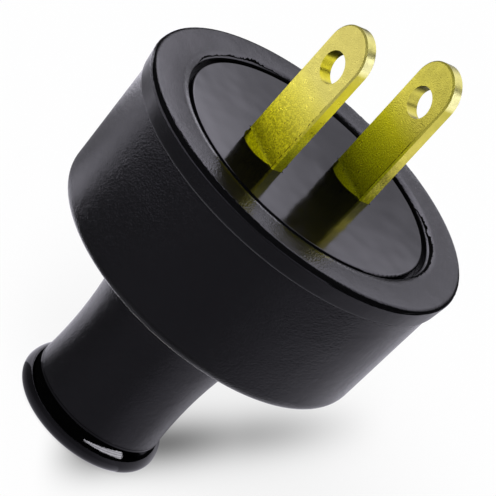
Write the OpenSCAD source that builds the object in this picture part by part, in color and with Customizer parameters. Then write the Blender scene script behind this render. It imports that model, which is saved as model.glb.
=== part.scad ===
// Rewirable rubber power plug with two flat brass blades.
// Z = 0 is the flat end of the neck, where the cord goes in. +Z points along the blades.

/* [Head] */
// Radius of the front rim
rim_r = 20; // [19:0.1:24]
// Height of the head, from its rear face to the front rim
head_h = 17.4; // [17:0.1:22]
// Height of the lip band behind the front rim
lip_band_h = 2.5; // [1.5:0.1:4]
// How much the lip band draws in towards its rear edge
lip_draft = 0.38; // [0:0.02:0.6]
// Step down from the lip band to the side of the head
lip_step = 0.27; // [0.1:0.01:0.5]
// How much the side of the head draws in towards the rear
side_draft = 0.75; // [0.2:0.05:1.5]
// Rounding of the front rim's outer edge
rim_round = 0.6; // [0.3:0.1:1]
// Width over which the rim rolls down towards its opening
rim_roll_w = 1.0; // [0.6:0.1:2]
// Slope of the rolled rim at the opening, in degrees
rim_roll_angle = 24; // [10:1:30]
// Rounding of the rim's inner edge
rim_inner_round = 0.2; // [0.1:0.05:0.4]
// Rounding of the rear edge
rear_round = 1.7; // [0.8:0.1:2.5]

/* [Neck] */
// Length of the neck, from its flat end to the head
neck_l = 21.9; // [18:0.1:30]
// Radius of the neck where it leaves the head
neck_root_r = 9.7; // [9:0.1:11]
// Radius of the neck at its waist
waist_r = 7.65; // [7.2:0.05:8.2]
// Height of the waist above the flat end
waist_z = 7.5; // [6:0.1:9]
// Outer radius of the end bead
bead_r = 8.65; // [8.3:0.05:9.5]
// Rounding of the end bead
bead_round = 1.35; // [1:0.05:2]
// Fillet between the bead and the neck
bead_fillet = 0.4; // [0.3:0.1:1.5]
// Fillet between the neck and the head
root_fillet = 1.2; // [0.5:0.1:2]
// Radius of the cord bore
cord_bore_r = 4.5; // [3:0.1:5]
// Chamfer at the mouth of the cord bore
bore_chamfer = 0.5; // [0.2:0.1:1]

/* [Seat for the core] */
// Radius of the opening inside the front rim
opening_r = 15.4; // [14.8:0.1:16]
// Depth of the rim's retaining lip
retaining_h = 1.9; // [1.5:0.1:2.5]
// How far the core's flange reaches under the retaining lip
flange_reach = 0.75; // [0.4:0.05:1.2]
// Radial gap between the core and the rubber
core_gap = 0.1; // [0.05:0.05:0.2]
// Axial gap between the flange and its groove
flange_gap = 0.05; // [0.02:0.01:0.1]
// Width of the ledge under the back of the core
ledge_w = 0.5; // [0.3:0.1:1]
// Depth of the wiring chamber behind the core
chamber_h = 6; // [5:0.1:7]
// Rounding of the chamber's floor
chamber_round = 1.5; // [0.5:0.1:2]
// Depth of the cone that leads from the chamber into the cord bore
funnel_h = 2; // [1:0.1:2.5]

/* [Core] */
// Width of the open ring between the front disc and the rim
ring_gap = 0.5; // [0.2:0.05:0.6]
// How far the edge of the front disc lies below the rim
disc_drop = 0.27; // [0.2:0.01:0.9]
// Crown of the front disc above its own edge
disc_crown = 0.25; // [0.2:0.05:0.8]
// Rounding of the front disc's edge
disc_round = 0.25; // [0.1:0.05:0.4]
// Thickness of the flange
flange_h = 2.2; // [1.5:0.1:3]
// Thickness of the core behind its flange
core_back_h = 3.8; // [3:0.1:5]
// How far the core's back steps in from its flange
flange_step = 2; // [1.5:0.1:2.5]
// Radius of the well round each blade
well_r = 2.75; // [2.2:0.05:3]
// Depth of the well below the crown of the disc
well_h = 2; // [1:0.1:2.5]
// Clearance round a blade in its slot
slot_gap = 0.05; // [0.03:0.01:0.1]

/* [Blades] */
// Distance between the blades' centres
blade_pitch = 12.7; // [12.5:0.1:13]
// Width of a blade
blade_w = 6.35; // [6:0.05:6.8]
// Thickness of a blade
blade_t = 1.5; // [1.2:0.05:1.6]
// Length of a blade in front of the rim
blade_l = 16.3; // [15:0.1:18]
// Height of the blade's hole above the rim
hole_z = 11.4; // [10:0.1:12]
// Radius of the blade's hole
hole_r = 1.75; // [1.5:0.05:2]
// Bevel along a blade's edges
blade_bevel = 0.18; // [0.05:0.01:0.3]
// Inner radius of the bend behind the core
bend_r = 0.6; // [0.4:0.1:0.8]
// Length of the foot from the bend to its screw
foot_l = 2.25; // [2:0.05:2.6]

/* [Terminal screws] */
// Radius of the screw's shank
screw_r = 1.5; // [1.2:0.1:1.6]
// Length of the shank below the head
screw_l = 5; // [4:0.1:5.5]
// Radius of the screw's head
screw_head_r = 2.6; // [2.2:0.1:2.8]
// Height of the screw's head
screw_head_h = 1.8; // [1.4:0.1:2.2]
// Width of the driver slot
driver_slot_w = 0.8; // [0.5:0.1:1]
// Depth of the driver slot
driver_slot_h = 0.8; // [0.5:0.1:1]
// Clearance of the shank in the foot's hole
foot_hole_gap = 0.15; // [0.1:0.05:0.3]
// Clearance of the shank in the core
pilot_gap = 0.05; // [0.02:0.01:0.1]
// Free depth of the pilot hole past the end of the shank
pilot_spare = 0.3; // [0.2:0.1:0.5]

/* [Hidden] */
$fn = 96;
// Finer steps for the two arcs of large radius
arc_fn = 480;
crown_fn = 1440;
// A small overlap that keeps cuts clear of the faces they open
over = 0.2;
// Reach of a corner's cutting kite, as a multiple of the rounding
kite_reach = 1.2;

head_z = neck_l;
rim_z = head_z + head_h;

// Lip band and side of the head
lip_back_z = rim_z - lip_band_h;
lip_back_r = rim_r - lip_draft;
side_r = lip_back_r - lip_step;
rear_r = side_r - side_draft;
lip_angle = atan(lip_draft / lip_band_h);
side_angle = atan(side_draft / (lip_back_z - head_z));
rim_centre = [rim_r - rim_round * (tan(lip_angle) + 1 / cos(lip_angle)), rim_z - rim_round];
rear_centre = [rear_r + rear_round * (tan(side_angle) - 1 / cos(side_angle)), head_z + rear_round];

// The rim's roll is an arc that leaves the flat rim without a break
rim_roll_r = rim_roll_w / sin(rim_roll_angle);
rim_roll_centre = [opening_r + rim_roll_w, rim_z - rim_roll_r];

// The inner edge's rounding touches the roll from inside and the wall of the opening
rim_inner_dx = rim_roll_w - rim_inner_round;
rim_inner_dz = sqrt(pow(rim_roll_r - rim_inner_round, 2) - pow(rim_inner_dx, 2));
rim_inner_centre = rim_roll_centre + [-rim_inner_dx, rim_inner_dz];

// Neck: one hollow arc through the waist and the root
root_rise = head_z - waist_z;
neck_flare = neck_root_r - waist_r;
neck_arc_r = (root_rise * root_rise + neck_flare * neck_flare) / (2 * neck_flare);
neck_centre = [waist_r + neck_arc_r, waist_z];
bead_centre = [bead_r - bead_round, bead_round];

// The bead's fillet touches the bead from outside and the neck's arc from inside
bead_fillet_centre = two_circles(
    bead_centre, bead_round + bead_fillet,
    neck_centre, neck_arc_r - bead_fillet
);

// The root's fillet touches the neck's arc from inside and the head's rear face from below
root_fillet_z = head_z - root_fillet;
root_fillet_dx = sqrt(pow(neck_arc_r - root_fillet, 2) - pow(root_fillet_z - waist_z, 2));
root_fillet_centre = [neck_centre.x - root_fillet_dx, root_fillet_z];

// Core, from its front disc to its back
disc_r = opening_r - ring_gap;
disc_edge_z = rim_z - disc_drop;
disc_top_z = disc_edge_z + disc_crown;
crown_r = (disc_r * disc_r + disc_crown * disc_crown) / (2 * disc_crown);
retaining_z = rim_z - retaining_h;
flange_r = opening_r + flange_reach;
flange_top_z = retaining_z - flange_gap;
flange_back_z = flange_top_z - flange_h;
core_r = flange_r - flange_step;
core_back_z = flange_back_z - core_back_h;
well_z = disc_top_z - well_h;

// Seat in the rubber body
groove_r = flange_r + core_gap;
groove_back_z = flange_back_z - flange_gap;
seat_r = core_r + core_gap;
chamber_r = core_r - ledge_w;
chamber_z = core_back_z - chamber_h;
funnel_r = cord_bore_r + funnel_h;

// Blades and their feet
blade_x = blade_pitch / 2;
tip_r = blade_w / 2;
tip_z = rim_z + blade_l - tip_r;
blade_hole_z = rim_z + hole_z;
bend_x = blade_t / 2 + bend_r;
bend_z = core_back_z + bend_r;
foot_x = bend_x + foot_l;
screw_x = blade_x + foot_x;
foot_back_z = core_back_z - blade_t;

function unit(v) = v / norm(v);

// The crossing of two circles that lies nearer the axis of the plug and higher up
function two_circles(a, ra, b, rb) =
    let (
        d = norm(b - a),
        along = (ra * ra - rb * rb + d * d) / (2 * d),
        side = sqrt(ra * ra - along * along),
        dir = unit(b - a)
    )
    a + along * dir + side * [-dir.y, dir.x];

// What a rounding takes off a convex corner: a kite about the corner, less the circle.
// a and b are unit vectors from the circle's centre to the two faces.
module corner_off(centre, r, a, b) {
    reach = kite_reach * r;
    difference() {
        polygon([centre, centre + reach * a, centre + reach * (a + b) / (1 + a * b), centre + reach * b]);
        translate(centre) circle(r);
    }
}

// Half section of the rubber body before its edges are rounded and its neck is drawn in
module body_blank() {
    polygon([
        [0, 0], [root_fillet_centre.x, 0], [root_fillet_centre.x, head_z], [rear_r, head_z],
        [side_r, lip_back_z], [lip_back_r, lip_back_z], [rim_r, rim_z], [0, rim_z]
    ]);
}

// The space beside the bead and the neck
module neck_space() {
    outside = root_fillet_centre.x + over;
    difference() {
        polygon([
            bead_centre, [bead_centre.x, -over], [outside, -over], [outside, root_fillet_z],
            root_fillet_centre, bead_fillet_centre
        ]);
        translate(bead_centre) circle(bead_round);
    }
}

// The hollow of the neck between its two fillets
module neck_hollow() {
    reach = kite_reach * neck_arc_r;
    intersection() {
        translate(neck_centre) circle(neck_arc_r, $fn = arc_fn);
        polygon([
            bead_fillet_centre, neck_centre + reach * unit(bead_fillet_centre - neck_centre),
            neck_centre + reach * unit(root_fillet_centre - neck_centre), root_fillet_centre
        ]);
    }
}

// Wiring chamber with a rounded floor
module chamber_section() {
    floor_centre = [chamber_r - chamber_round, chamber_z + chamber_round];
    difference() {
        translate([0, chamber_z]) square([chamber_r, chamber_h]);
        corner_off(floor_centre, chamber_round, [0, -1], [1, 0]);
    }
}

// What the roll takes off the rim's inner border
module rim_roll_off() {
    difference() {
        translate([opening_r - over, rim_roll_centre.y]) square([rim_roll_w + over, rim_roll_r + over]);
        translate(rim_roll_centre) circle(rim_roll_r);
    }
}

module body_section() {
    bore_top_z = chamber_z - funnel_h;
    difference() {
        body_blank();
        neck_space();
        neck_hollow();
        translate(bead_fillet_centre) circle(bead_fillet);
        translate(root_fillet_centre) circle(root_fillet);
        corner_off(rim_centre, rim_round, [0, 1], [cos(lip_angle), -sin(lip_angle)]);
        corner_off(rear_centre, rear_round, [0, -1], [cos(side_angle), -sin(side_angle)]);
        rim_roll_off();
        corner_off(rim_inner_centre, rim_inner_round, unit(rim_inner_centre - rim_roll_centre), [-1, 0]);
        translate([0, retaining_z]) square([opening_r, retaining_h + over]);
        translate([0, groove_back_z]) square([groove_r, retaining_z - groove_back_z]);
        translate([0, core_back_z]) square([seat_r, groove_back_z - core_back_z]);
        chamber_section();
        polygon([[0, chamber_z], [funnel_r, chamber_z], [cord_bore_r, bore_top_z], [0, bore_top_z]]);
        translate([0, -over]) square([cord_bore_r, bore_top_z + over]);
        polygon([
            [0, -over], [cord_bore_r + bore_chamfer + over, -over],
            [cord_bore_r, bore_chamfer], [0, bore_chamfer]
        ]);
    }
}

module rubber_body() {
    color("#1c1c1d") rotate_extrude() body_section();
}

// Half section of the core: crowned front disc, flange and back
module core_section() {
    crown_centre = [0, disc_top_z - crown_r];
    edge_normal = unit([disc_r, disc_edge_z] - crown_centre);
    edge_centre = [disc_r - disc_round, disc_edge_z - disc_round];
    difference() {
        intersection() {
            polygon([
                [0, core_back_z], [core_r, core_back_z], [core_r, flange_back_z], [flange_r, flange_back_z],
                [flange_r, flange_top_z], [disc_r, flange_top_z],
                [disc_r, disc_top_z + over], [0, disc_top_z + over]
            ]);
            translate(crown_centre) circle(crown_r, $fn = crown_fn);
        }
        corner_off(edge_centre, disc_round, edge_normal, [1, 0]);
    }
}

// Everything that the core is cut for at one blade: well, slot, relief for the bend and pilot hole
module blade_cuts() {
    translate([blade_x, 0, well_z]) cylinder(r = well_r, h = well_h + over);
    translate([blade_x - blade_t / 2 - slot_gap, -blade_w / 2 - slot_gap, core_back_z - over])
        cube([blade_t + 2 * slot_gap, blade_w + 2 * slot_gap, disc_top_z - core_back_z + 2 * over]);
    translate([blade_x, -blade_w / 2 - slot_gap, core_back_z - over])
        cube([bend_x + slot_gap, blade_w + 2 * slot_gap, bend_r + slot_gap + over]);
    translate([screw_x, 0, core_back_z - over])
        cylinder(r = screw_r + pilot_gap, h = screw_l - blade_t + pilot_spare + over);
}

module contact_core() {
    color("#232324") difference() {
        rotate_extrude() core_section();
        blade_cuts();
        mirror([1, 0, 0]) blade_cuts();
    }
}

// Cross-section of a blade with its four bevelled edges
module blade_section() {
    difference() {
        square([blade_w, blade_t], center = true);
        for (side = [-1, 1], face = [-1, 1])
            translate([side * blade_w / 2, face * blade_t / 2])
                rotate(45) square(sqrt(2) * blade_bevel, center = true);
    }
}

// Round tip of a blade: half the cross-section, turned about the blade's thickness
module blade_tip() {
    rotate([0, 90, 0]) rotate([0, 0, 90]) rotate_extrude(angle = 180) intersection() {
        blade_section();
        translate([0, -blade_t]) square([blade_w, 2 * blade_t]);
    }
}

// Straight stretch and round tip of a blade, with its hole
module prong() {
    difference() {
        union() {
            translate([0, 0, bend_z]) linear_extrude(tip_z - bend_z) rotate(90) blade_section();
            translate([0, 0, tip_z]) blade_tip();
        }
        translate([-blade_t, 0, blade_hole_z]) rotate([0, 90, 0]) cylinder(r = hole_r, h = 2 * blade_t);
    }
}

// Bend and foot behind the core, with a round end about the screw
module foot() {
    translate([bend_x, blade_w / 2, bend_z]) rotate([90, 0, 0]) linear_extrude(blade_w) intersection() {
        difference() {
            circle(bend_r + blade_t);
            circle(bend_r);
        }
        translate([-bend_r - blade_t, -bend_r - blade_t]) square(bend_r + blade_t);
    }
    translate([0, 0, foot_back_z]) linear_extrude(blade_t) difference() {
        union() {
            translate([bend_x, -blade_w / 2]) square([foot_l, blade_w]);
            translate([foot_x, 0]) circle(blade_w / 2);
        }
        translate([foot_x, 0]) circle(screw_r + foot_hole_gap);
    }
}

module blade() {
    color("#b3a325") translate([blade_x, 0, 0]) {
        prong();
        foot();
    }
}

module blade_right() { blade(); }

module blade_left() { mirror([1, 0, 0]) blade(); }

// Binding screw, head downwards against the foot
module terminal_screw() {
    color("#c2b15a") translate([screw_x, 0, foot_back_z]) difference() {
        union() {
            cylinder(r = screw_r, h = screw_l);
            translate([0, 0, -screw_head_h]) cylinder(r = screw_head_r, h = screw_head_h);
        }
        translate([-screw_head_r - over, -driver_slot_w / 2, -screw_head_h - over])
            cube([2 * (screw_head_r + over), driver_slot_w, driver_slot_h + over]);
    }
}

module terminal_screw_right() { terminal_screw(); }

module terminal_screw_left() { mirror([1, 0, 0]) terminal_screw(); }

rubber_body();
contact_core();
blade_left();
blade_right();
terminal_screw_left();
terminal_screw_right();
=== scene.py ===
import math
import random

import bpy
from mathutils import Matrix, Vector


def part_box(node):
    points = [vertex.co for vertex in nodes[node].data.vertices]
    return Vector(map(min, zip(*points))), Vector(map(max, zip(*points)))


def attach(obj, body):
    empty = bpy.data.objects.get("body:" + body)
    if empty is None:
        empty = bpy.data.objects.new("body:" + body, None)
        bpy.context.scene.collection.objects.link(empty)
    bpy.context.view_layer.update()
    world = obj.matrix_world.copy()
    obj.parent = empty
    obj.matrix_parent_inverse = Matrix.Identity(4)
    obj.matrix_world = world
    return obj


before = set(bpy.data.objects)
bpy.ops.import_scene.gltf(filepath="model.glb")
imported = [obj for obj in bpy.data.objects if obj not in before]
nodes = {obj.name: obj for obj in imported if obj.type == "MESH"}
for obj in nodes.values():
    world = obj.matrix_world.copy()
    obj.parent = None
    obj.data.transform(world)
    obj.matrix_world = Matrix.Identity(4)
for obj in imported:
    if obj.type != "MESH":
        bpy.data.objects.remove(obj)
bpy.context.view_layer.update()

MM = 0.001

# Level of the front rim, in metres and in millimetres
RIM_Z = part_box("rubber_body")[1].z
RIM_MM = RIM_Z / MM

# Levels and sizes of the plug that the looks follow, in millimetres
REAR_MM = RIM_MM - 17.4
LIP_REAR_MM = RIM_MM - 2.5
BEAD_TOP_MM = 3.4
OPENING_R_MM = 15.4
CROWN_R_MM = 17.4
BLADE_W_MM = 6.35

# Camera: how far the eye stands from the middle of the rim, how it is turned, and its focal length
CAMERA_EYE = Vector((-200.327, -191.143, 115.953)) * MM + Vector((0, 0, RIM_Z))
CAMERA_RIGHT = Vector((0.712949, -0.342604, 0.611822))
CAMERA_UP = Vector((-0.238853, 0.701685, 0.671258))
CAMERA_BACK = CAMERA_RIGHT.cross(CAMERA_UP)
CAMERA_FOCAL_PX = 2952.8
IMAGE_SIZE_PX = 496
SENSOR_W_MM = 36

# Level directions as the viewer has them: away from the viewer, and to the viewer's right
AWAY = Vector((-CAMERA_BACK.x, -CAMERA_BACK.y, 0)).normalized()
RIGHT = Vector((AWAY.y, -AWAY.x, 0))

# Cool cast of the studio, which only reflections show, and of the sheen of the black pieces
STUDIO_TINT = (0.975, 0.955, 1.07, 1)
SHEEN_TINT = (0.93, 0.91, 1.0, 1)

# Colours of the faces and the edges of the two blades by height above the rim, in millimetres. Besides the
# brass's own olive tone towards the root, they hold painted light and shade: each blade has its own set,
# lighter and darker by height as light falls on it, with a painted highlight where the tip rounds off
LEFT_FACE_LIT = (
    (0, (0.62, 0.60, 0.003)),
    (3, (0.85, 0.79, 0.02)),
    (5, (0.92, 0.84, 0.07)),
    (9, (0.64, 0.58, 0.125)),
    (14.5, (0.54, 0.48, 0.11)),
)
LEFT_EDGE_LIT = (
    (0, (0.37, 0.38, 0.003)),
    (2, (0.50, 0.51, 0.003)),
    (3.5, (0.74, 0.72, 0.003)),
    (5.2, (0.92, 0.87, 0.006)),
    (7.3, (0.80, 0.73, 0.03)),
    (9.5, (0.48, 0.43, 0.018)),
    (11.5, (0.43, 0.385, 0.02)),
    (13.2, (0.38, 0.345, 0.04)),
    # Painted highlight where the tip rounds off
    (13.9, (0.80, 0.77, 0.34)),
    (15, (0.80, 0.77, 0.34)),
    (15.6, (0.48, 0.45, 0.13)),
)
RIGHT_FACE_LIT = (
    (0, (0.30, 0.32, 0.001)),
    (4, (0.50, 0.51, 0.002)),
    (7.3, (0.62, 0.59, 0.011)),
    (10, (0.62, 0.56, 0.066)),
    (14, (0.48, 0.435, 0.062)),
)
RIGHT_EDGE_LIT = (
    (0, (0.62, 0.61, 0.01)),
    (2.2, (0.98, 0.92, 0.10)),
    (4, (0.88, 0.80, 0.11)),
    (5, (0.54, 0.49, 0.07)),
    (7.3, (0.45, 0.40, 0.065)),
    (13.2, (0.35, 0.32, 0.045)),
    # Painted highlight where the tip rounds off
    (13.9, (0.80, 0.77, 0.34)),
    (15, (0.80, 0.77, 0.34)),
    (15.6, (0.48, 0.45, 0.13)),
)


# Helpers for node trees

def add_node(tree, kind, inputs=None, **settings):
    """Adds a node, sets its options, and links its inputs or sets them to constants."""
    node = tree.nodes.new(kind)
    for name, value in settings.items():
        setattr(node, name, value)
    for key, value in (inputs or {}).items():
        if isinstance(value, bpy.types.NodeSocket):
            tree.links.new(value, node.inputs[key])
        else:
            node.inputs[key].default_value = value
    return node


def new_material(name):
    """A material with an empty node tree, and that tree and its output node."""
    material = bpy.data.materials.new(name)
    material.use_nodes = True
    tree = material.node_tree
    tree.nodes.clear()
    output = tree.nodes.new("ShaderNodeOutputMaterial")
    return material, tree, output


def finish_surface(tree, output, inputs):
    """Closes a material with the standard surface shader."""
    shader = add_node(tree, "ShaderNodeBsdfPrincipled", inputs)
    tree.links.new(shader.outputs["BSDF"], output.inputs["Surface"])


def grey(level):
    return (level, level, level, 1)


def math_node(tree, operation, a, b=0):
    return add_node(tree, "ShaderNodeMath", {0: a, 1: b}, operation=operation).outputs["Value"]


def vector_node(tree, operation, inputs):
    return add_node(tree, "ShaderNodeVectorMath", inputs, operation=operation)


def product(tree, *values):
    """All the values multiplied together."""
    result = values[0]
    for value in values[1:]:
        result = math_node(tree, "MULTIPLY", result, value)
    return result


def total(tree, *values):
    """The sum of all the values."""
    result = values[0]
    for value in values[1:]:
        result = math_node(tree, "ADD", result, value)
    return result


def mix_number(tree, factor, a, b):
    """Runs from number a to number b while the factor goes from 0 to 1."""
    return add_node(tree, "ShaderNodeMix", {"Factor": factor, "A": a, "B": b}).outputs["Result"]


def mix_colour(tree, factor, a, b):
    """Runs from colour a to colour b while the factor goes from 0 to 1."""
    colour_a = 6
    colour_b = 7
    colour_result = 2
    node = add_node(tree, "ShaderNodeMix", {"Factor": factor, colour_a: a, colour_b: b}, data_type="RGBA")
    return node.outputs[colour_result]


def ramp(tree, value, low, high, to_low, to_high):
    """Runs smoothly from to_low to to_high while value goes from low to high."""
    node = add_node(tree, "ShaderNodeMapRange", {
        "Value": value, "From Min": low, "From Max": high, "To Min": to_low, "To Max": to_high,
    }, interpolation_type="SMOOTHSTEP")
    return node.outputs["Result"]


def between(tree, value, low, high, soft):
    """1 between low and high, fading out over a soft border."""
    rising = ramp(tree, value, low - soft, low, 0, 1)
    falling = ramp(tree, value, high, high + soft, 1, 0)
    return product(tree, rising, falling)


def turn_ramp(tree, turn, low, high, to_low, to_high):
    """A ramp over a turn about the vertical, with its ends in degrees."""
    return ramp(tree, turn, math.radians(low), math.radians(high), to_low, to_high)


def turn_between(tree, turn, low, high, soft):
    """1 between two turns about the vertical, in degrees, fading out over a soft border."""
    return between(tree, turn, math.radians(low), math.radians(high), math.radians(soft))


def coordinate(tree, vector, axis):
    """One coordinate of a vector."""
    return add_node(tree, "ShaderNodeSeparateXYZ", {"Vector": vector}).outputs[axis]


def along(tree, point, direction):
    """How far the point lies along a direction."""
    return vector_node(tree, "DOT_PRODUCT", {0: point, 1: direction}).outputs["Value"]


def heading_turn(tree, point):
    """Angle of a point or direction about the vertical, from straight ahead, to the right positive."""
    return math_node(tree, "ARCTAN2", along(tree, point, RIGHT), along(tree, point, AWAY))


def point_mm(tree):
    """The point being shaded, in the frame of the object, in millimetres."""
    place = add_node(tree, "ShaderNodeTexCoord").outputs["Object"]
    return vector_node(tree, "SCALE", {0: place, "Scale": 1 / MM}).outputs["Vector"]


def radius_mm(tree, point):
    """Distance of the point from the axis of the plug."""
    level = vector_node(tree, "MULTIPLY", {0: point, 1: (1, 1, 0)}).outputs["Vector"]
    return vector_node(tree, "LENGTH", {0: level}).outputs["Value"]


def surface_normal(tree):
    return add_node(tree, "ShaderNodeNewGeometry").outputs["Normal"]


def noise(tree, point, per_mm, detail):
    """Noise with about per_mm lumps to a millimetre, between 0 and 1."""
    return add_node(tree, "ShaderNodeTexNoise", {
        "Vector": point, "Scale": per_mm, "Detail": detail, "Roughness": 0.5,
    }).outputs["Fac"]


def varied(tree, point, per_mm, detail, low, high):
    """A value that drifts between low and high over the surface."""
    return ramp(tree, noise(tree, point, per_mm, detail), 0.3, 0.7, low, high)


def bump_mm(tree, height, inputs=None):
    """A normal from a height in millimetres."""
    return add_node(tree, "ShaderNodeBump", {
        "Strength": 1.0, "Distance": MM, "Height": height, **(inputs or {}),
    }).outputs["Normal"]


def colour_stops(tree, value, stops):
    """The colour that a row of stops gives at a value; each stop is a value and its colour."""
    first = stops[0][0]
    last = stops[-1][0]
    share = add_node(tree, "ShaderNodeMapRange", {"Value": value, "From Min": first, "From Max": last})
    node = add_node(tree, "ShaderNodeValToRGB", {"Fac": share.outputs["Result"]})
    elements = node.color_ramp.elements
    while len(elements) < len(stops):
        elements.new(1.0)
    for element, (place, colour) in zip(elements, stops):
        element.position = (place - first) / (last - first)
        element.color = (*colour, 1)
    return node.outputs["Color"]


# Materials of the plug

def rubber_material():
    """Soft black rubber: pebbled on the sides, finer on the rim, dull on the lip, polished on the bead."""
    side_grain_mm = 0.06
    lip_grain_mm = 0.008
    front_grain_mm = 0.02
    flow_mm = 0.08
    crown_per_mm = 1 / 60
    bead_grain_share = 0.07
    bead_polish = 0.3
    rim_edge_polish = 0.4
    lip_dulling = 0.14
    material, tree, output = new_material("black_rubber")
    point = point_mm(tree)
    height = coordinate(tree, point, "Z")
    radius = radius_mm(tree, point)

    # Zones of the surface, from 0 outside to 1 inside
    front = ramp(tree, height, RIM_MM - 0.3, RIM_MM - 0.15, 0, 1)
    above_side = ramp(tree, height, LIP_REAR_MM - 0.05, LIP_REAR_MM + 0.05, 0, 1)
    lip = product(tree, above_side, ramp(tree, height, RIM_MM - 0.75, RIM_MM - 0.6, 1, 0))
    rim_edge = between(tree, height, RIM_MM - 0.6, RIM_MM - 0.1, soft=0.08)
    bead = ramp(tree, height, BEAD_TOP_MM, BEAD_TOP_MM + 0.15, 1, 0)
    # Bands of painted highlight on the rear edges of the lip and the head, and of painted shade on the
    # rounding behind the side
    lip_highlight_band = product(tree, lip, ramp(tree, height, LIP_REAR_MM, LIP_REAR_MM + 0.2, 1, 0))
    rear_highlight_band = between(tree, height, REAR_MM + 0.1, REAR_MM + 0.36, soft=0.06)
    shaded_rear_rounding = between(tree, height, REAR_MM + 0.4, REAR_MM + 1.1, soft=0.5)

    side_depth = ramp(tree, above_side, 0, 1, side_grain_mm, lip_grain_mm)
    side_grain = product(tree, side_depth, ramp(tree, bead, 0, 1, 1, bead_grain_share))
    grain_depth = total(tree, side_grain, product(tree, front, front_grain_mm))
    grain = product(tree, noise(tree, point, per_mm=4.5, detail=3), grain_depth)
    flow_depth = ramp(tree, bead, 0, 1, flow_mm, 0)
    flow = product(tree, noise(tree, point, per_mm=0.3, detail=2), flow_depth)

    # The front of the rim is a little crowned; outwards the crown fades out down the side, without a step
    off_middle = math_node(tree, "SUBTRACT", radius, CROWN_R_MM)
    outwards = ramp(tree, off_middle, -0.1, 0.1, 0, 1)
    down_side = product(tree, outwards, ramp(tree, height, RIM_MM - 14, RIM_MM - 3, 0, 1))
    crowned = math_node(tree, "MAXIMUM", front, down_side)
    crown = product(tree, off_middle, off_middle, crowned, -crown_per_mm)

    satin = varied(tree, point, per_mm=0.25, detail=3, low=0.13, high=0.18)
    on_bead = ramp(tree, bead, 0, 1, 1, bead_polish)
    on_rim_edge = ramp(tree, rim_edge, 0, 1, 1, rim_edge_polish)
    roughness = total(tree, product(tree, satin, on_bead, on_rim_edge), product(tree, lip, lip_dulling))

    # The rear edges of the lip and of the head carry thin painted highlights in lighter grey, and the
    # rounding behind the side has its sheen darkened as painted shade
    black = mix_colour(tree, bead, (0.0024, 0.0024, 0.0027, 1), grey(0.0003))
    with_lip_highlight = mix_colour(tree, lip_highlight_band, black, (0.042, 0.042, 0.045, 1))
    colour = mix_colour(tree, rear_highlight_band, with_lip_highlight, (0.32, 0.32, 0.325, 1))
    tint = mix_colour(tree, shaded_rear_rounding, SHEEN_TINT, (0.25, 0.25, 0.27, 1))
    finish_surface(tree, output, {
        "Base Color": colour,
        "Roughness": roughness,
        "Specular IOR Level": 0.25,
        "Specular Tint": tint,
        "Normal": bump_mm(tree, total(tree, grain, flow, crown)),
    })
    return material


def flash_material():
    """Thin torn rubber: dead black and dull."""
    torn_mm = 0.03
    material, tree, output = new_material("black_flash")
    point = point_mm(tree)
    torn = product(tree, noise(tree, point, per_mm=4, detail=3), torn_mm)
    finish_surface(tree, output, {
        "Base Color": (0.0008, 0.0008, 0.0009, 1),
        "Roughness": varied(tree, point, per_mm=2, detail=2, low=0.4, high=0.55),
        "Specular IOR Level": 0.06,
        "Normal": bump_mm(tree, torn),
    })
    return material


def core_material():
    """Hard black moulding, smooth, with faint flow marks."""
    flow_mm = 0.06
    grain_mm = 0.0005
    material, tree, output = new_material("black_core")
    point = point_mm(tree)
    flow = product(tree, noise(tree, point, per_mm=0.22, detail=1), flow_mm)
    grain = product(tree, noise(tree, point, per_mm=1.5, detail=2), grain_mm)
    finish_surface(tree, output, {
        "Base Color": (0.0012, 0.0012, 0.0014, 1),
        "Roughness": varied(tree, point, per_mm=0.3, detail=3, low=0.10, high=0.15),
        "Specular IOR Level": 0.35,
        "Specular Tint": SHEEN_TINT,
        "Normal": bump_mm(tree, total(tree, grain, flow)),
    })
    return material


def flared_normal(tree, above_rim, facing, flare, flare_h):
    """Normal of flat faces that flare out a little towards their root, over a height above the rim."""
    lean = product(tree, facing, ramp(tree, above_rim, -1, flare_h, flare, 0))
    lift = add_node(tree, "ShaderNodeCombineXYZ", {"Z": lean}).outputs["Vector"]
    leant = vector_node(tree, "ADD", {0: surface_normal(tree), 1: lift}).outputs["Vector"]
    return vector_node(tree, "NORMALIZE", {0: leant}).outputs["Vector"]


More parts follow.
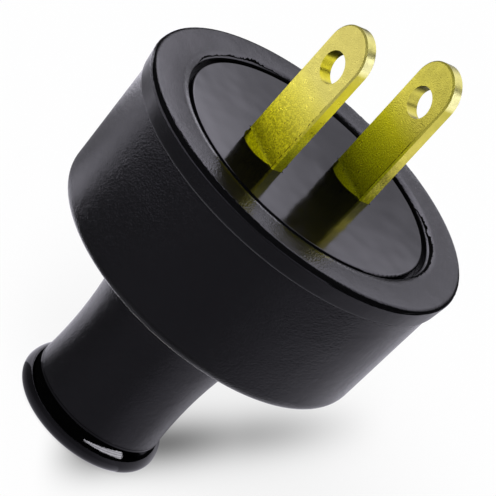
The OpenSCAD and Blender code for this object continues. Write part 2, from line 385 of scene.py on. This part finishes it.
def brass_material(name, flare, flare_h, lit_face_stops, lit_edge_stops, dull_edge):
    """Stamped brass: grainy and olive at the root and paler towards the tip; its colours by height also
    carry painted light and shade.

    dull_edge gives the heights above the rim over which the edges turn from dull to bright metal.
    """
    # Dark colour of the specks, which is also the painted shade along the burr
    stain_and_burr_shade = (0.06, 0.05, 0.001, 1)
    speck_stain = 0.5
    tip_stain_share = 0.08
    burr_start = 0.22 - BLADE_W_MM / 2
    burr_end = 0.28 - BLADE_W_MM / 2
    bevel_tarnish = 0.4
    edge_root_metal = 0.1
    well_metal = 0.45
    edge_grain_mm = 0.008
    face_grain_mm = 0.035
    material, tree, output = new_material(name)
    point = point_mm(tree)
    above_rim = math_node(tree, "SUBTRACT", coordinate(tree, point, "Z"), RIM_MM)

    # How far the surface faces sideways: 1 on the flat faces, 0 on the narrow edges
    facing = math_node(tree, "ABSOLUTE", coordinate(tree, surface_normal(tree), "X"))
    on_face = ramp(tree, facing, 0.3, 0.6, 0, 1)
    bevel = between(tree, facing, 0.35, 0.85, soft=0.12)

    # Colours by height: the brass's own tone together with painted light and shade
    lit_face_colour = colour_stops(tree, above_rim, lit_face_stops)
    lit_edge_colour = colour_stops(tree, above_rim, lit_edge_stops)
    clean_lit_colour = mix_colour(tree, on_face, lit_edge_colour, lit_face_colour)
    speck = ramp(tree, noise(tree, point, per_mm=5, detail=3), 0.36, 0.64, speck_stain, 0)
    stained = product(tree, speck, ramp(tree, above_rim, 2, 9, 1, tip_stain_share))

    # A broken dark line of painted shade runs along the burr on one edge of each face
    burr_line = between(tree, coordinate(tree, point, "Y"), burr_start, burr_end, soft=0.04)
    breaks = ramp(tree, noise(tree, point, per_mm=2, detail=2), 0.42, 0.48, 0, 1)
    burr_shade = product(tree, burr_line, breaks, ramp(tree, above_rim, 7, 11, 1, 0))
    colour = mix_colour(tree, math_node(tree, "MAXIMUM", stained, burr_shade), clean_lit_colour, stain_and_burr_shade)

    # The roots are dulled: the faces only inside the wells, the edges further up
    edge_metal = ramp(tree, above_rim, dull_edge[0], dull_edge[1], edge_root_metal, 1)
    face_metal = ramp(tree, above_rim, -0.4, 0.4, well_metal, 1)
    root_metal = mix_number(tree, on_face, edge_metal, face_metal)
    untarnished = math_node(tree, "SUBTRACT", 1, product(tree, bevel, bevel_tarnish))

    grain_depth = ramp(tree, facing, 0.2, 0.9, edge_grain_mm, face_grain_mm)
    grain = product(tree, noise(tree, point, per_mm=7, detail=2), grain_depth)
    flared = flared_normal(tree, above_rim, facing, flare, flare_h)
    finish_surface(tree, output, {
        "Base Color": colour,
        "Metallic": product(tree, untarnished, root_metal),
        "Roughness": varied(tree, point, per_mm=1.2, detail=3, low=0.27, high=0.36),
        "Normal": bump_mm(tree, grain, {"Normal": flared}),
    })
    return material


def screw_material():
    """Plain brass with fine turning marks."""
    marks_mm = 0.006
    material, tree, output = new_material("screw_brass")
    point = point_mm(tree)
    marks = product(tree, noise(tree, point, per_mm=6, detail=2), marks_mm)
    finish_surface(tree, output, {
        "Base Color": (0.70, 0.62, 0.30, 1),
        "Metallic": 1.0,
        "Roughness": varied(tree, point, per_mm=1, detail=2, low=0.25, high=0.35),
        "Normal": bump_mm(tree, marks),
    })
    return material


def dress(node_name, material):
    """Gives a node of the frame its finished material."""
    mesh = nodes[node_name].data
    mesh.materials.clear()
    mesh.materials.append(material)


# Trim that rides on the plug

def add_mesh(name, corners, faces, material):
    """A mesh object in the scene."""
    mesh = bpy.data.meshes.new(name)
    mesh.from_pydata(corners, [], faces)
    mesh.materials.append(material)
    holder = bpy.data.objects.new(name, mesh)
    bpy.context.collection.objects.link(holder)
    return holder


def around_axis(radius, angle, height):
    """A point at a radius, an angle and a height, in millimetres, as metres in the frame."""
    return (radius * math.cos(angle) * MM, radius * math.sin(angle) * MM, height * MM)


def flash_heights(random_source, count):
    """Ragged heights between 0 and 1 for one stretch of flash, thinning out at both ends."""
    lowest = 0.3
    highest = 0.9
    drift = 0.14
    jitter = 0.1
    heights = []
    level = (lowest + highest) / 2
    for step in range(count):
        level = min(highest, max(lowest, level + random_source.uniform(-drift, drift)))
        taper = math.sin(math.pi * step / (count - 1)) ** 0.5
        heights.append((level + random_source.uniform(-jitter, jitter)) * taper)
    return heights


def add_rim_flash(material):
    """Ragged fins of moulding flash that stand on the inner edge of the rim, on two stretches."""
    stretches = ((78, 132), (-62, -2))
    step_degrees = 0.5
    fin_h = 0.5
    least_lean = 0.05
    most_lean = 0.55
    root = RIM_MM - 0.5
    least_top = RIM_MM - 0.2
    inner_r = OPENING_R_MM - 0.04
    outer_r = OPENING_R_MM + 0.2
    seed = 11
    random_source = random.Random(seed)
    corners = []
    faces = []
    for first, last in stretches:
        count = int((last - first) / step_degrees) + 1
        start = len(corners)
        for step, height in enumerate(flash_heights(random_source, count)):
            angle = math.radians(first + step * step_degrees)
            tip_r = inner_r + least_lean + most_lean * height
            corners.append(around_axis(inner_r, angle, root))
            corners.append(around_axis(tip_r, angle, least_top + fin_h * height))
            corners.append(around_axis(outer_r, angle, root))
        for step in range(count - 1):
            here = start + 3 * step
            ahead = here + 3
            for a, b in ((0, 1), (1, 2), (2, 0)):
                faces.append((here + a, here + b, ahead + b, ahead + a))
        end = start + 3 * (count - 1)
        faces.append((start, start + 2, start + 1))
        faces.append((end, end + 1, end + 2))
    holder = add_mesh("rim_flash", corners, faces, material)
    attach(holder, "root")


def bead_profile():
    """Closed outline of the end bead: its round outer side, then a full shoulder up to the neck."""
    middle = Vector((7.3, 1.35))
    bead_round = 1.37
    shoulder_reach = 1.28
    shoulder_end = Vector((7.50, 3.48))
    shoulder_steps = 16
    inside = [Vector((7.1, 3.3)), Vector((7.3, 0.3))]
    outline = []
    for degrees in range(-80, 11, 6):
        angle = math.radians(degrees)
        outline.append(middle + bead_round * Vector((math.cos(angle), math.sin(angle))))
    start = outline[-1]
    heading = (middle - start).orthogonal().normalized()
    crest = start + shoulder_reach * (heading if heading.y > 0 else -heading)
    for step in range(1, shoulder_steps + 1):
        t = step / shoulder_steps
        outline.append(start * (1 - t) ** 2 + crest * 2 * t * (1 - t) + shoulder_end * t ** 2)
    return outline + inside


def add_end_bead(material):
    """The end bead's outer skin: the outline of the bead turned about the axis."""
    turns = 192
    sharp_degrees = 30
    profile = bead_profile()
    count = len(profile)
    corners = []
    faces = []
    for turn in range(turns):
        here = turn * count
        ahead = (turn + 1) % turns * count
        for step, place in enumerate(profile):
            after = (step + 1) % count
            corners.append(around_axis(place.x, 2 * math.pi * turn / turns, place.y))
            faces.append((here + step, ahead + step, ahead + after, here + after))
    holder = add_mesh("end_bead", corners, faces, material)
    holder.data.shade_smooth()
    holder.data.set_sharp_from_angle(angle=math.radians(sharp_degrees))
    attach(holder, "root")
    return holder


# Camera and stage

def add_camera():
    """The camera, rolled so that the standing plug is seen tilted."""
    camera = bpy.data.cameras.new("camera")
    camera.sensor_width = SENSOR_W_MM
    camera.lens = SENSOR_W_MM * CAMERA_FOCAL_PX / IMAGE_SIZE_PX
    camera.clip_start = 0.01
    holder = bpy.data.objects.new("camera", camera)
    turn = Matrix((CAMERA_RIGHT, CAMERA_UP, CAMERA_BACK)).transposed()
    holder.matrix_world = Matrix.Translation(CAMERA_EYE) @ turn.to_4x4()
    bpy.context.collection.objects.link(holder)
    bpy.context.scene.camera = holder


def shiny_ray(tree, path):
    """1 on a ray that a glossy or clear surface sends on."""
    return math_node(tree, "MAXIMUM", path.outputs["Is Glossy Ray"], path.outputs["Is Transmission Ray"])


def dark_gap(tree, turn):
    """1 in the gaps on both sides of the lit background, which keep the rounded rim edge black."""
    left = turn_between(tree, turn, -38, -6, soft=8)
    right = turn_between(tree, turn, 16, 58, soft=8)
    return total(tree, left, right)


def soft_box_light(tree, turn, rise):
    """Light of the soft box behind the object: dimmer below, and brighter at its left end."""
    low_level = 0.486
    high_level = 1.728
    width = turn_between(tree, turn, -32, 55, soft=5)
    gap = product(tree, dark_gap(tree, turn), ramp(tree, rise, 0.2, 0.26, 1, 0))
    depth = product(tree, math_node(tree, "SUBTRACT", 1, gap), ramp(tree, rise, 0.8, 0.84, 1, 0))
    shade = ramp(tree, rise, 0.34, 0.5, low_level, high_level)
    left_tilt = turn_ramp(tree, turn, -8, 1, 1.75, 0.85)
    right_tilt = turn_ramp(tree, turn, 1.5, 4.5, 0, 0.35)
    return product(tree, width, depth, shade, total(tree, left_tilt, right_tilt))


def patch_light(tree, turn, rise):
    """Light of a low bright patch straight behind, for the rounded inner edge of the rim."""
    level = 1.2
    width = turn_between(tree, turn, 1, 3, soft=3)
    return product(tree, width, ramp(tree, rise, 0.12, 0.2, level, 0))


def add_world():
    """White for the camera; reflections see a soft box behind the object and a dim room elsewhere."""
    dim_room = 0.02
    ambient = 0.12
    world = bpy.data.worlds.new("studio")
    bpy.context.scene.world = world
    world.use_nodes = True
    tree = world.node_tree
    tree.nodes.clear()
    path = add_node(tree, "ShaderNodeLightPath")
    camera_ray = path.outputs["Is Camera Ray"]
    direction = add_node(tree, "ShaderNodeTexCoord").outputs["Generated"]
    turn = heading_turn(tree, direction)
    rise = coordinate(tree, direction, "Z")
    reflected = total(tree, soft_box_light(tree, turn, rise), patch_light(tree, turn, rise), dim_room)
    lit = mix_number(tree, shiny_ray(tree, path), ambient, reflected)
    background = add_node(tree, "ShaderNodeBackground", {
        "Color": mix_colour(tree, camera_ray, STUDIO_TINT, grey(1)),
        "Strength": mix_number(tree, camera_ray, lit, 1.0),
    })
    output = add_node(tree, "ShaderNodeOutputWorld")
    tree.links.new(background.outputs["Background"], output.inputs["Surface"])


def flat_mesh(name, corners, material):
    """One flat face of the stage through the corners."""
    holder = add_mesh(name, corners, [list(range(len(corners)))], material)
    return holder


def floor_place(right, away, height):
    """A point of the stage: so many millimetres to the right and away, at a height in metres."""
    place = (RIGHT * right + AWAY * away) * MM
    return (place.x, place.y, height)


def painted_shadow_streak(tree, point):
    """How far the painted streak of shadow dims the floor: it starts under the bead and runs to the right.
    """
    middle_drop = 3.4
    narrowness = 0.15
    run = along(tree, point, Vector((CAMERA_RIGHT.x, CAMERA_RIGHT.y, 0)))
    drop = along(tree, point, Vector((-CAMERA_UP.x, -CAMERA_UP.y, 0)))
    off_line = math_node(tree, "SUBTRACT", drop, middle_drop)
    across = math_node(tree, "EXPONENT", product(tree, off_line, off_line, -narrowness))
    far_part = ramp(tree, run, 17, 35.5, 0.51, 0)
    near_part = ramp(tree, run, 8, 17, 0.28, 0)
    start = ramp(tree, run, -4.5, 2, 0, 1)
    return product(tree, across, total(tree, far_part, near_part), start)


def far_left_shade(tree, across, away, radius):
    """Shade of the floor on the left, which the left border of the head and of its lip mirrors."""
    on_left = between(tree, across, -95, -30, soft=20)
    for_lip = product(tree, ramp(tree, radius, 82, 94, 0, 1.3), ramp(tree, away, 20, 40, 0, 1))
    near_change = ramp(tree, away, 6, 37, 0.5, -0.8)
    far_change = ramp(tree, away, 55, 72, 0, 0.5)
    return total(tree, product(tree, on_left, total(tree, near_change, far_change, for_lip)), 1)


def mirrored_floor_light(tree, point):
    """Light of the floor in reflections: brightest on the left, black far off beside the lit background."""
    across = along(tree, point, RIGHT)
    radius = radius_mm(tree, point)
    left_shade = far_left_shade(tree, across, along(tree, point, AWAY), radius)
    left_light = product(tree, ramp(tree, across, -70, 20, 1.45, 0.75), left_shade)
    right_light = ramp(tree, across, 75, 100, 0, 0.3)
    far_off = ramp(tree, radius, 110, 150, 0, 0.97)
    gap = product(tree, dark_gap(tree, heading_turn(tree, point)), far_off)
    return product(tree, total(tree, left_light, right_light), math_node(tree, "SUBTRACT", 1, gap))


def floor_material():
    """White floor: it takes the cast shadow softly, carries a painted streak of shadow, and reflections see
    it lit from the sides.
    """
    own_white = 0.88
    material, tree, output = new_material("white_floor")
    path = add_node(tree, "ShaderNodeLightPath")
    point = point_mm(tree)
    # The floor's colour with its painted streak of shadow, which reflections see too
    bright = math_node(tree, "SUBTRACT", 1, painted_shadow_streak(tree, point))
    combine = add_node(tree, "ShaderNodeCombineColor", {"Red": bright, "Green": bright, "Blue": bright})
    white = combine.outputs["Color"]
    diffuse = add_node(tree, "ShaderNodeBsdfDiffuse", {"Color": white})
    glow = add_node(tree, "ShaderNodeEmission", {"Color": white, "Strength": 1.0})
    seen = add_node(tree, "ShaderNodeMixShader", {
        0: product(tree, path.outputs["Is Camera Ray"], own_white),
        1: diffuse.outputs["BSDF"],
        2: glow.outputs["Emission"],
    })
    mirrored = add_node(tree, "ShaderNodeEmission", {
        "Color": STUDIO_TINT,
        "Strength": product(tree, bright, mirrored_floor_light(tree, point)),
    })
    both = add_node(tree, "ShaderNodeMixShader", {
        0: shiny_ray(tree, path),
        1: seen.outputs["Shader"],
        2: mirrored.outputs["Emission"],
    })
    tree.links.new(both.outputs["Shader"], output.inputs["Surface"])
    return material


def add_floor():
    """The floor, a hair below the foot of the plug."""
    reach = 1.5
    floor_z = -0.00003
    corners = [(x * reach, y * reach, floor_z) for x, y in ((-1, -1), (1, -1), (1, 1), (-1, 1))]
    flat_mesh("floor", corners, floor_material())


def glowing_material(name, colour, strength):
    """A surface that only glows; the strength is a number or a function that gives it from the node tree."""
    material, tree, output = new_material(name)
    level = strength(tree) if callable(strength) else strength
    glow = add_node(tree, "ShaderNodeEmission", {"Color": colour, "Strength": level})
    tree.links.new(glow.outputs["Emission"], output.inputs["Surface"])
    return material


def reflection_only(holder):
    """Hides a piece of the stage from everything but reflections."""
    holder.visible_camera = False
    holder.visible_diffuse = False
    holder.visible_shadow = False


def card_strength(tree):
    """Strength of the dark card: lighter close to the object, and growing lighter towards its right end."""
    point = point_mm(tree)
    turn = heading_turn(tree, point)
    radius = radius_mm(tree, point)
    close = total(tree, ramp(tree, radius, 10, 13, 0.25, 0), ramp(tree, radius, 22, 60, 0.4, 0.35))
    swing = math_node(tree, "ABSOLUTE", turn)
    left_dim = turn_ramp(tree, swing, 100, 165, 0.45, 1)
    right_lift = turn_ramp(tree, swing, 105, 160, 2.3, 1)
    on_right = turn_ramp(tree, turn, 0, 5, 0, 1)
    return product(tree, close, mix_number(tree, on_right, left_dim, right_lift))


def add_dark_card():
    """A dark card on the floor before the object, which only reflections show."""
    card_z = 0.0002
    far_edge = ((-94, 14), (-75, 10), (-31, 6), (0, -3), (77, -25), (97, -31))
    near_edge = ((97, -1500), (-94, -1500))
    corners = [floor_place(right, away, card_z) for right, away in far_edge + near_edge]
    card = flat_mesh("dark_card", corners, glowing_material("dark_card", STUDIO_TINT, card_strength))
    reflection_only(card)


# Lamps

def aim(azimuth, elevation):
    """Unit direction from the object, in degrees."""
    a = math.radians(azimuth)
    e = math.radians(elevation)
    return Vector((math.cos(a) * math.cos(e), math.sin(a) * math.cos(e), math.sin(e)))


def add_linked_lamp(name, corners, colour, strength, pieces):
    """A flat lamp that only reflections in the given pieces show."""
    lamp = flat_mesh(name, corners, glowing_material(name, colour, strength))
    reflection_only(lamp)
    lit_pieces = bpy.data.collections.new("lit_by_" + name)
    for piece in pieces:
        lit_pieces.objects.link(piece)
    lamp.light_linking.receiver_collection = lit_pieces


def wall_corners(first, last, bottom, top):
    """Corners of an upright wall between two turns, in degrees, and two heights, in metres."""
    distance = 0.8
    spare_degrees = 3
    middle = math.radians((first + last) / 2)
    half_width = distance * math.tan(math.radians((last - first) / 2 + spare_degrees))
    ahead = AWAY * math.cos(middle) + RIGHT * math.sin(middle)
    aside = Vector((ahead.y, -ahead.x, 0)) * half_width
    low = ahead * distance + Vector((0, 0, bottom))
    high = ahead * distance + Vector((0, 0, top))
    return [low - aside, low + aside, high + aside, high - aside]


def add_blade_lights():
    """Bright walls on both sides and a bright stretch of floor, for the faces and edges of the blades."""
    floor_light_z = 0.0003
    floor_outline = ((99, 62), (99, -80), (700, -566), (700, 438))
    floor_corners = [floor_place(right, away, floor_light_z) for right, away in floor_outline]
    blades = [nodes["blade_left"], nodes["blade_right"]]
    # Each lamp has a name, its corners and its strength
    lamps = (
        ("left_wall", wall_corners(-115, -50, bottom=0, top=0.13), 1.4),
        ("right_wall", wall_corners(75, 125, bottom=0, top=0.06), 1.4),
        ("right_card", wall_corners(70, 105, bottom=0.07, top=0.70), 2.0),
        ("right_floor", floor_corners, 1.8),
    )
    for name, corners, strength in lamps:
        add_linked_lamp(name, corners, STUDIO_TINT, strength, blades)


def ribs(tree):
    """Strength of a lamp with level ribs."""
    ribs_per_mm = 1 / 70
    dim = 11
    bright = 20
    phase = product(tree, coordinate(tree, point_mm(tree), "Z"), 2 * math.pi * ribs_per_mm)
    return ramp(tree, math_node(tree, "SINE", phase), -1, 1, dim, bright)


def add_bead_light(bead):
    """A small ribbed wedge of light for the polished bead."""
    distance = 0.5
    half_width = 0.28
    half_depth = 0.13
    left_depth = 0.03
    middle = aim(azimuth=-80, elevation=24) * distance
    facing = middle.to_track_quat("Z", "Y").to_matrix()
    outline = (
        (-half_width, -left_depth),
        (half_width, -half_depth),
        (half_width, half_depth),
        (-half_width, left_depth),
    )
    corners = [middle + facing @ Vector((x, y, 0)) for x, y in outline]
    add_linked_lamp("bead_light", corners, grey(1), ribs, [bead])


def add_key():
    """A broad sun that lights the dull surfaces and casts the shadow."""
    key = bpy.data.lights.new("key", "SUN")
    key.energy = 3.4
    key.angle = math.radians(35)
    holder = bpy.data.objects.new("key", key)
    holder.rotation_euler = aim(azimuth=-161, elevation=50).to_track_quat("Z", "Y").to_euler()
    bpy.context.collection.objects.link(holder)
    holder.visible_glossy = False


# The finished scene

rubber = rubber_material()
screw_brass = screw_material()
dress("rubber_body", rubber)
dress("contact_core", core_material())
dress("blade_left", brass_material(
    "brass_left", flare=0.22, flare_h=7,
    lit_face_stops=LEFT_FACE_LIT, lit_edge_stops=LEFT_EDGE_LIT, dull_edge=(3.5, 6.5),
))
dress("blade_right", brass_material(
    "brass_right", flare=0.15, flare_h=10,
    lit_face_stops=RIGHT_FACE_LIT, lit_edge_stops=RIGHT_EDGE_LIT, dull_edge=(1.8, 3.8),
))
dress("terminal_screw_left", screw_brass)
dress("terminal_screw_right", screw_brass)
add_rim_flash(flash_material())
end_bead = add_end_bead(rubber)

add_camera()
add_world()
add_floor()
add_dark_card()
add_blade_lights()
add_bead_light(end_bead)
add_key()

bpy.context.scene.view_settings.view_transform = "Standard"
